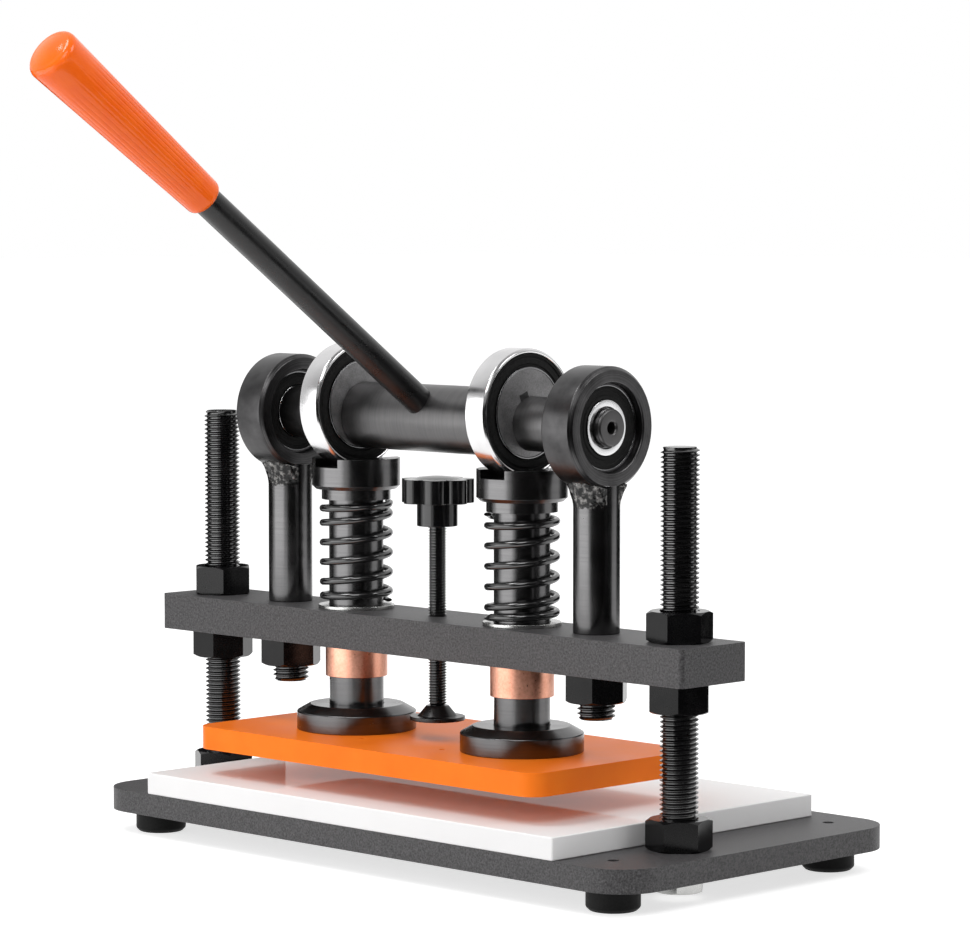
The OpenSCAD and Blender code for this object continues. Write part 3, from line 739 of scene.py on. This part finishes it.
def eye_ring(side, centre, outer, half, bore):
    """The ring of an eye, with chamfered edges and a seat for its bearing."""
    face = half - EYE_EDGE
    profile = [
        (outer, -face),
        (outer, face),
        (outer - EYE_EDGE, half),
        (bore + EYE_LIP, half),
        (bore, half - EYE_LIP),
        (bore, EYE_LIP - half),
        (bore + EYE_LIP, -half),
        (outer - EYE_EDGE, -half),
    ]
    return turned("eye_ring_" + side, profile, centre, X_AXIS, EYE_ROUND, closed=True)


WELD_HEIGHT = 9.5 * MM
WELD_FLARE = 3.3 * MM
WELD_CURVE = 1.8
WELD_SINK = 0.4 * MM
WELD_LUMP = 0.45 * MM
# Waves of lumps round the weld: how many, how far they lean from bottom to top, and their share
WELD_WAVES = ((13, 5, 1.0), (23, -9, 0.7))
WELD_ROWS = 9
WELD_COLUMNS = 144


def weld_bead(side, centre, ring_r, ring_half):
    """A lumpy weld that flares from the post to the round underside of the ring."""
    around = np.arange(WELD_COLUMNS) * TURN / WELD_COLUMNS
    rings = np.empty((WELD_ROWS + 1, WELD_COLUMNS, 3))
    for row in range(WELD_ROWS + 1):
        share = row / WELD_ROWS
        lump = sum(part * np.sin(around * count + lean * share) for count, lean, part in WELD_WAVES)
        out = EYE_POST_R + WELD_FLARE * share ** WELD_CURVE + WELD_LUMP * share * lump
        across = np.clip(out * np.cos(around), -ring_half - WELD_LUMP, ring_half + WELD_LUMP)
        deep = out * np.sin(around)
        top = -np.sqrt(ring_r ** 2 - deep ** 2) + WELD_SINK
        bottom = -ring_r - WELD_HEIGHT + WELD_LUMP * lump
        rings[row, :, 0] = centre.x + across
        rings[row, :, 1] = centre.y + deep
        rings[row, :, 2] = centre.z + bottom + (top - bottom) * share
    return stacked("eye_weld_" + side, rings, sharp=80.0)


def eyes():
    """The two eyes: ring, welded post and threaded stud."""
    for side in SIDES:
        node = "eye_post_" + side
        low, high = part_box(node)
        centre = at_height(middle(node), SHAFT_CENTRE.z)
        outer = high.z - SHAFT_CENTRE.z
        race = size("eye_outer_race_" + side)
        ring_half = race.x / 2 + EYE_RECESS
        ring = eye_ring(side, centre, outer, ring_half, race.z / 2)
        place(ring, "crossbeam", "eye_steel", EYE[side], node)
        top = SHAFT_CENTRE.z - math.sqrt(outer ** 2 - EYE_POST_R ** 2)
        profile = [(0, BEAM_TOP), (EYE_POST_R, BEAM_TOP), (EYE_POST_R, top), (0, top)]
        post = turned("eye_shank_" + side, profile, at_height(centre, 0), round_by=EYE_POST_ROUND)
        place(post, "crossbeam", "eye_steel", BLUED)
        place(weld_bead(side, centre, outer, ring_half), "crossbeam", "eye_steel", WELD)
        foot = at_height(centre, low.z)
        stud = threaded("eye_stud_" + side, foot, STUD_R, STUD_PITCH, BEAM_TOP - low.z)
        place(stud, "crossbeam", "black_steel", THREAD_BLACK)


def mirrored(face):
    """A closed ring profile from the half on its positive side."""
    return list(face) + [(radius, -height) for radius, height in reversed(face)]


def stepped(radius, face, offsets):
    """Profile points beside a radius and a face; the offsets go outward and upward, in millimetres."""
    return [(radius + outward * MM, face + upward * MM) for outward, upward in offsets]


def ring_piece(name, face, centre, round_by, segments=96):
    """A ring round the X axis that is the same on both faces."""
    return turned(name, mirrored(face), centre, X_AXIS, round_by, closed=True, segments=segments)


REACH_SLACK = 0.1 * MM
JOURNAL_STRETCH = 2 * MM


def shaft_reach(low_x, high_x):
    """Largest radius of the camshaft over a stretch along X."""
    points = node_points("camshaft")
    near = (points[:, 0] > low_x - REACH_SLACK) & (points[:, 0] < high_x + REACH_SLACK)
    return np.linalg.norm(points[near, 1:] - np.array(SHAFT_CENTRE)[1:], axis=1).max()


JOURNAL_R = shaft_reach(SHAFT_END - JOURNAL_STRETCH, SHAFT_END)
RACE_ROUND = 0.25 * MM
SEAL_ROUND = 0.15 * MM
EYE_RACE_WIDTH = 1.6 * MM
EYE_SEAL_DROP = 0.7 * MM
# Steps of an eye bearing's faces, as offsets in millimetres
EYE_RACE_STEPS = ((0.4, 0), (0.1, -0.7))
EYE_LIP_STEPS = ((0.3, -0.1), (-0.3, -0.2))
EYE_SEAL_OUTER = ((-0.2, 0), (-2.2, 0), (-2.4, -0.4))
EYE_SEAL_INNER = ((2.4, -0.4), (2.2, 0), (0.4, 0))
EYE_BORE_STEPS = ((1.0, 0), (0.8, -1.8), (0, -2.0))


def eye_bearings():
    """The bearing in each eye: outer race and lip of race steel darkened as painted shade, the race most for
    its recess, grooved seals, and the inner race.
    """
    for side in SIDES:
        outer = size("eye_outer_race_" + side)
        centre = at_height(middle("eye_outer_race_" + side), SHAFT_CENTRE.z)
        half = outer.x / 2
        rim = outer.z / 2
        lip = rim - EYE_RACE_WIDTH
        face = half - EYE_SEAL_DROP
        inner = size("eye_inner_race_" + side).z / 2
        profile = [(rim, half), *stepped(lip, half, EYE_RACE_STEPS)]
        race = ring_piece("eye_race_" + side, profile, centre, RACE_ROUND)
        # The outer race sits in the eye's recess, so its steel carries painted shade
        place(race, "crossbeam", "bearing_steel", RACE_IN_PAINTED_SHADE, "eye_outer_race_" + side)
        profile = stepped(lip, half, EYE_LIP_STEPS)
        edge = ring_piece("eye_lip_" + side, profile, centre, SEAL_ROUND)
        # The lip's steel is darkened as painted shade
        place(edge, "crossbeam", "bearing_steel", RACE_EDGE_PAINTED_SHADE)
        profile = stepped(lip, face, EYE_SEAL_OUTER) + stepped(inner, face, EYE_SEAL_INNER)
        seal = ring_piece("eye_shield_" + side, profile, centre, SEAL_ROUND)
        place(seal, "crossbeam", "seal_rubber", SEAL_RUBBER, "eye_seals_" + side)
        profile = [(inner, half), *stepped(JOURNAL_R, half, EYE_BORE_STEPS)]
        ring = ring_piece("eye_inner_ring_" + side, profile, centre, EDGE_ROUND)
        place(ring, "cam", "bearing_steel", RACE, "eye_inner_race_" + side)


CENTRE_HOLE_R = 3.0 * MM
CENTRE_HOLE_DEPTH = 8.0 * MM
HOLE_CHAMFER = 0.8 * MM
SHAFT_CHAMFER = 1.0 * MM
SHAFT_ROUND = 0.4 * MM


def camshaft():
    """The stepped shaft, turned in one piece, with a centre hole in each end."""
    middle_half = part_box("eccentric_right")[0].x
    seat_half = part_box("eye_inner_race_right")[0].x
    middle_r = shaft_reach(0, middle_half)
    seat_r = shaft_reach(seat_half, seat_half)
    hole = SHAFT_END - CENTRE_HOLE_DEPTH
    ends = [
        (0, hole),
        (CENTRE_HOLE_R, hole),
        (CENTRE_HOLE_R, SHAFT_END - HOLE_CHAMFER),
        (CENTRE_HOLE_R + HOLE_CHAMFER, SHAFT_END),
        (JOURNAL_R - SHAFT_CHAMFER, SHAFT_END),
        (JOURNAL_R, SHAFT_END - SHAFT_CHAMFER),
        (JOURNAL_R, seat_half),
        (seat_r, seat_half),
        (seat_r, middle_half),
        (middle_r, middle_half),
    ]
    profile = [(radius, -height) for radius, height in ends] + list(reversed(ends))
    shaft = turned("camshaft_turned", profile, SHAFT_CENTRE, X_AXIS, SHAFT_ROUND)
    place(shaft, "cam", "shaft_steel", SHAFT, "camshaft")


WHEEL_EDGE = 1.2 * MM
WHEEL_RIM = 2.6 * MM
WHEEL_ROUND = 0.4 * MM
WHEEL_SEAL_DROP = 0.7 * MM
DISC_R = 23.7 * MM
DISC_EDGE_R = DISC_R - 0.3 * MM
RACE_LINE = 0.6 * MM
RACE_DROP = 0.1 * MM
KEY_STEP = 0.3 * MM
RIM_SEGMENTS = 160
DISC_SEGMENTS = 128
# Steps of a wheel's faces, as offsets in millimetres
WHEEL_LIP_STEPS = ((0.5, 0), (0, -0.8))
WHEEL_SEAL_OUTER = ((-0.05, 0), (-1.3, 0), (-1.5, -0.6), (-2.5, -0.6), (-2.7, 0))
WHEEL_SEAL_INNER = ((1.7, 0), (1.5, -0.6), (0.05, -0.6))


def wheels():
    """Each wheel: polished rim, grooved black seal, a thin race whose steel is darkened as painted shade,
    and the grey disc of its eccentric.
    """
    for side in SIDES:
        low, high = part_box("wheel_" + side)
        centre = Vector(JOINTS[f"wheel_{side}_spin"]["pos_m"])
        centre.x = (low.x + high.x) / 2
        half = (high.x - low.x) / 2
        outer = (high.z - low.z) / 2
        inner = outer - WHEEL_RIM
        profile = [(outer, half - WHEEL_EDGE), (outer - WHEEL_EDGE, half)]
        profile += stepped(inner, half, WHEEL_LIP_STEPS)
        rim = ring_piece("wheel_rim_" + side, profile, centre, WHEEL_ROUND, RIM_SEGMENTS)
        place(rim, side + "_wheel", "wheel_chrome", CHROME, "wheel_" + side)
        race_r = DISC_R + RACE_LINE
        face = half - WHEEL_SEAL_DROP
        profile = stepped(inner, face, WHEEL_SEAL_OUTER) + stepped(race_r, face, WHEEL_SEAL_INNER)
        seal = ring_piece("wheel_shield_" + side, profile, centre, SEAL_ROUND, DISC_SEGMENTS)
        place(seal, side + "_wheel", "seal_rubber", SEAL_RUBBER, "wheel_seals_" + side)
        line = half - RACE_DROP
        profile = [(race_r, line), (DISC_EDGE_R, line)]
        race = ring_piece("wheel_race_" + side, profile, centre, RACE_ROUND, DISC_SEGMENTS)
        # The wheel's race line is darkened as painted shade
        place(race, "cam", "bearing_steel", RACE_EDGE_PAINTED_SHADE, "wheel_inner_race_" + side)
        flat = half - KEY_STEP
        profile = [(0, -flat), (DISC_EDGE_R, -flat), (DISC_EDGE_R, flat), (0, flat)]
        disc = turned("eccentric_disc_" + side, profile, centre, X_AXIS, segments=DISC_SEGMENTS)
        place(disc, "cam", "bearing_steel", CAST, "eccentric_" + side)


GRIP_FLUTES = 28
FLUTE_DEPTH = 0.2 * MM
FLUTE_STEPS = 8
GRIP_ROWS = 36
GRIP_FRONT = 3.0 * MM
GRIP_RIM = 4.0 * MM
GRIP_DOME = 1.6 * MM
GRIP_INSET = 0.06 * MM
# Shares of the grip's length where its flutes start and end, and how fast they fade in
FLUTE_START = 0.03
FLUTE_END = 0.90
FLUTE_FADE = 8
# Stretch at the front of the grip over which its radius is read
FRONT_STRETCH = 1 * MM


def lever_axis():
    """Direction of the lever from the shaft to the tip of its grip."""
    reaches = (vertex.co - SHAFT_CENTRE for vertex in NODES["lever_grip"].data.vertices)
    out = max(reaches, key=lambda reach: reach.length)
    out.x = 0
    return out.normalized()


def arc(centre, radius, first, last, steps=8):
    """Profile points on an arc; nought degrees points away from the axis."""
    angles = np.radians(np.linspace(first, last, steps + 1))
    return [(centre[0] + radius * math.cos(angle), centre[1] + radius * math.sin(angle)) for angle in angles]


def grip_profile(start, end, front_r, back_r):
    """Half outline of the grip from its rounded front to its domed end."""
    body_end = end - GRIP_DOME - GRIP_RIM
    face_r = back_r - GRIP_RIM
    dome_r = (face_r ** 2 + GRIP_DOME ** 2) / (2 * GRIP_DOME)
    half = math.degrees(math.asin(face_r / dome_r))
    profile = [(0.0, start)] + arc((front_r - GRIP_FRONT, start + GRIP_FRONT), GRIP_FRONT, -90, 0)
    for share in np.linspace(0, 1, GRIP_ROWS)[1:-1]:
        height = start + GRIP_FRONT + (body_end - start - GRIP_FRONT) * share
        profile.append((front_r + (back_r - front_r) * share, height))
    profile += arc((face_r, body_end), GRIP_RIM, 0, 90)
    return profile + arc((0, end - dome_r), dome_r, 90 - half, 90)[1:]


def grip():
    """The tapered grip with fine flutes along it."""
    axis = lever_axis()
    points = node_points("lever_grip") - np.array(SHAFT_CENTRE)
    along = points @ np.array(axis)
    radial = np.linalg.norm(points - along[:, None] * np.array(axis), axis=1)
    start = along.min()
    end = along.max() - GRIP_INSET
    front_r = radial[along < start + FRONT_STRETCH].max() - GRIP_INSET
    profile = np.array(grip_profile(start, end, front_r, radial.max() - GRIP_INSET))
    share = (profile[:, 1] - start) / (end - start)
    inside = np.minimum(share - FLUTE_START, FLUTE_END - share)
    depth = FLUTE_DEPTH * np.clip(FLUTE_FADE * inside, 0, 1)
    segments = GRIP_FLUTES * FLUTE_STEPS
    angles = np.arange(segments) * TURN / segments
    wave = (1 - np.abs(np.cos(angles * GRIP_FLUTES / 2))) ** 2
    radii = profile[:, :1] - depth[:, None] * wave[None, :]
    rings = turned_points(SHAFT_CENTRE, axis, radii, profile[:, 1:], angles[None, :])
    place(stacked("lever_grip_moulded", rings), "cam", "grip_plastic", GRIP, "lever_grip")


# Studio

PHOTO_FOCAL = 3811.76
PHOTO_WIDTH = 970
CAMERA_PLACE = Vector((1.46681, -1.47210, 0.35090))
CAMERA_YAW = math.radians(44.888)
CAMERA_PITCH = math.radians(3.939)
SENSOR_WIDTH = 36.0
VIEW_END = 50.0


def camera():
    """The photograph's camera."""
    data = bpy.data.cameras.new("photo_camera")
    data.sensor_width = SENSOR_WIDTH
    data.sensor_fit = "HORIZONTAL"
    data.lens = PHOTO_FOCAL * SENSOR_WIDTH / PHOTO_WIDTH
    data.clip_end = VIEW_END
    holder = bpy.data.objects.new("photo_camera", data)
    holder.location = CAMERA_PLACE
    level = math.cos(CAMERA_PITCH)
    view = Vector((-math.sin(CAMERA_YAW) * level, math.cos(CAMERA_YAW) * level, -math.sin(CAMERA_PITCH)))
    holder.rotation_euler = view.to_track_quat("-Z", "Y").to_euler()
    bpy.context.scene.collection.objects.link(holder)
    bpy.context.scene.camera = holder


def area_light(name, place_at, aim, width, height, radiance):
    """A soft box that faces a point."""
    data = bpy.data.lights.new(name, "AREA")
    data.shape = "RECTANGLE"
    data.size = width
    data.size_y = height
    data.energy = radiance * math.pi * width * height
    lamp = bpy.data.objects.new(name, data)
    lamp.location = place_at
    lamp.rotation_euler = (Vector(aim) - Vector(place_at)).to_track_quat("-Z", "Y").to_euler()
    bpy.context.scene.collection.objects.link(lamp)


# Each lamp's place, the point it faces, its width and height in metres, and its radiance
LAMPS = {
    "key_soft_box": ((-0.38, -1.09, 0.33), (0, 0, 0.33), 1.2, 0.66, 2.2),
    "front_soft_box": ((0.9, -1.2, 1.5), (0, 0, 0.2), 0.8, 0.8, 4.5),
    "top_soft_box": ((-0.35, -0.75, 1.75), (0, 0, 0.2), 0.6, 0.6, 10.0),
    "fill_soft_box": ((1.45, 0.5, 1.7), (0, 0, 0.2), 0.9, 0.9, 5.0),
}


def lights():
    """A wide key from the front and left, lamps high over the camera and above, and a fill on the right."""
    for name, lamp in LAMPS.items():
        area_light(name, *lamp)


# Each card's direction from the object in degrees, and its distance, width and height in metres
CARDS = {
    "camera_side": (-22, 0.45, 0.95, 0.32),
    "far_left": (177, 0.85, 1.1, 0.45),
    "right": (80, 0.85, 0.7, 0.45),
}
CARD_COLOUR = (0.01, 0.01, 0.01, 1)


def dark_cards():
    """Low black cards round the object, as photographers use; only reflections see them."""
    material = bpy.data.materials.new("card_black")
    material.use_nodes = True
    shader = material.node_tree.nodes["Principled BSDF"]
    shader.inputs["Base Color"].default_value = CARD_COLOUR
    shader.inputs["Specular IOR Level"].default_value = 0.0
    for name, (azimuth, away, width, height) in CARDS.items():
        angle = math.radians(azimuth)
        toward = Vector((math.cos(angle), math.sin(angle), 0))
        aside = Vector((-toward.y, toward.x, 0)) * (width / 2)
        foot = toward * away
        rise = Vector((0, 0, height))
        mesh = bpy.data.meshes.new("card_" + name)
        corners = [foot - aside, foot + aside, foot + aside + rise, foot - aside + rise]
        mesh.from_pydata([tuple(corner) for corner in corners], [], [(0, 1, 2, 3)])
        mesh.materials.append(material)
        card = bpy.data.objects.new("card_" + name, mesh)
        bpy.context.scene.collection.objects.link(card)
        card.visible_camera = False
        card.visible_diffuse = False
        card.visible_shadow = False


def seen_directly(tree):
    """One where the camera, a reflection or glass looks at the background, and nought elsewhere."""
    path = tree.nodes.new("ShaderNodeLightPath")
    total = path.outputs["Is Camera Ray"]
    for name in ("Is Glossy Ray", "Is Transmission Ray"):
        add = tree.nodes.new("ShaderNodeMath")
        add.operation = "MAXIMUM"
        tree.links.new(total, add.inputs[0])
        tree.links.new(path.outputs[name], add.inputs[1])
        total = add.outputs[0]
    return total


# Strength of the sky on the camera's side and behind the object, and where between them it changes
SKY_FRONT = 0.28
SKY_BACK = 1.0
SKY_CHANGE = (-0.3, 0.6)


def world():
    """A plain sky that is white behind the object and dimmer on the camera's side."""
    sky = bpy.data.worlds.new("studio_world")
    sky.use_nodes = True
    tree = sky.node_tree
    background = tree.nodes["Background"]
    background.inputs["Color"].default_value = (1, 1, 1, 1)
    behind = tree.nodes.new("ShaderNodeVectorMath")
    behind.operation = "DOT_PRODUCT"
    behind.inputs[1].default_value = (-math.sin(CAMERA_YAW), math.cos(CAMERA_YAW), 0)
    span = tree.nodes.new("ShaderNodeMapRange")
    span.interpolation_type = "SMOOTHSTEP"
    span.inputs["From Min"].default_value = SKY_CHANGE[0]
    span.inputs["From Max"].default_value = SKY_CHANGE[1]
    span.inputs["To Min"].default_value = SKY_FRONT
    span.inputs["To Max"].default_value = SKY_BACK
    direction = tree.nodes.new("ShaderNodeTexCoord").outputs["Generated"]
    tree.links.new(direction, behind.inputs[0])
    tree.links.new(behind.outputs["Value"], span.inputs["Value"])
    tree.links.new(span.outputs["Result"], background.inputs["Strength"])
    bpy.context.scene.world = sky


FLOOR_SIZE = 40.0
FLOOR_COLOUR = (0.6, 0.6, 0.6, 1)
FLOOR_ROUGHNESS = 0.9
FLOOR_SPECULAR = 0.1
# Light that the floor adds where it is seen, so that it looks white
FLOOR_LIFT = 0.70


def floor():
    """A wide pale floor that keeps the object's shadow."""
    half = FLOOR_SIZE / 2
    mesh = bpy.data.meshes.new("floor")
    corners = [(-half, -half, 0), (half, -half, 0), (half, half, 0), (-half, half, 0)]
    mesh.from_pydata(corners, [], [(0, 1, 2, 3)])
    ground = bpy.data.objects.new("floor", mesh)
    bpy.context.scene.collection.objects.link(ground)
    material = bpy.data.materials.new("pale_floor")
    material.use_nodes = True
    tree = material.node_tree
    shader = tree.nodes["Principled BSDF"]
    shader.inputs["Base Color"].default_value = FLOOR_COLOUR
    shader.inputs["Roughness"].default_value = FLOOR_ROUGHNESS
    shader.inputs["Specular IOR Level"].default_value = FLOOR_SPECULAR
    shader.inputs["Emission Color"].default_value = (1, 1, 1, 1)
    lift = tree.nodes.new("ShaderNodeMath")
    lift.operation = "MULTIPLY"
    lift.inputs[1].default_value = FLOOR_LIFT
    tree.links.new(seen_directly(tree), lift.inputs[0])
    tree.links.new(lift.outputs[0], shader.inputs["Emission Strength"])
    ground.data.materials.append(material)


camera()
dress_nodes()
columns()
adjuster_screw()
springs()
eyes()
eye_bearings()
camshaft()
wheels()
grip()
lights()
dark_cards()
world()
floor()
bpy.context.scene.view_settings.view_transform = "Standard"
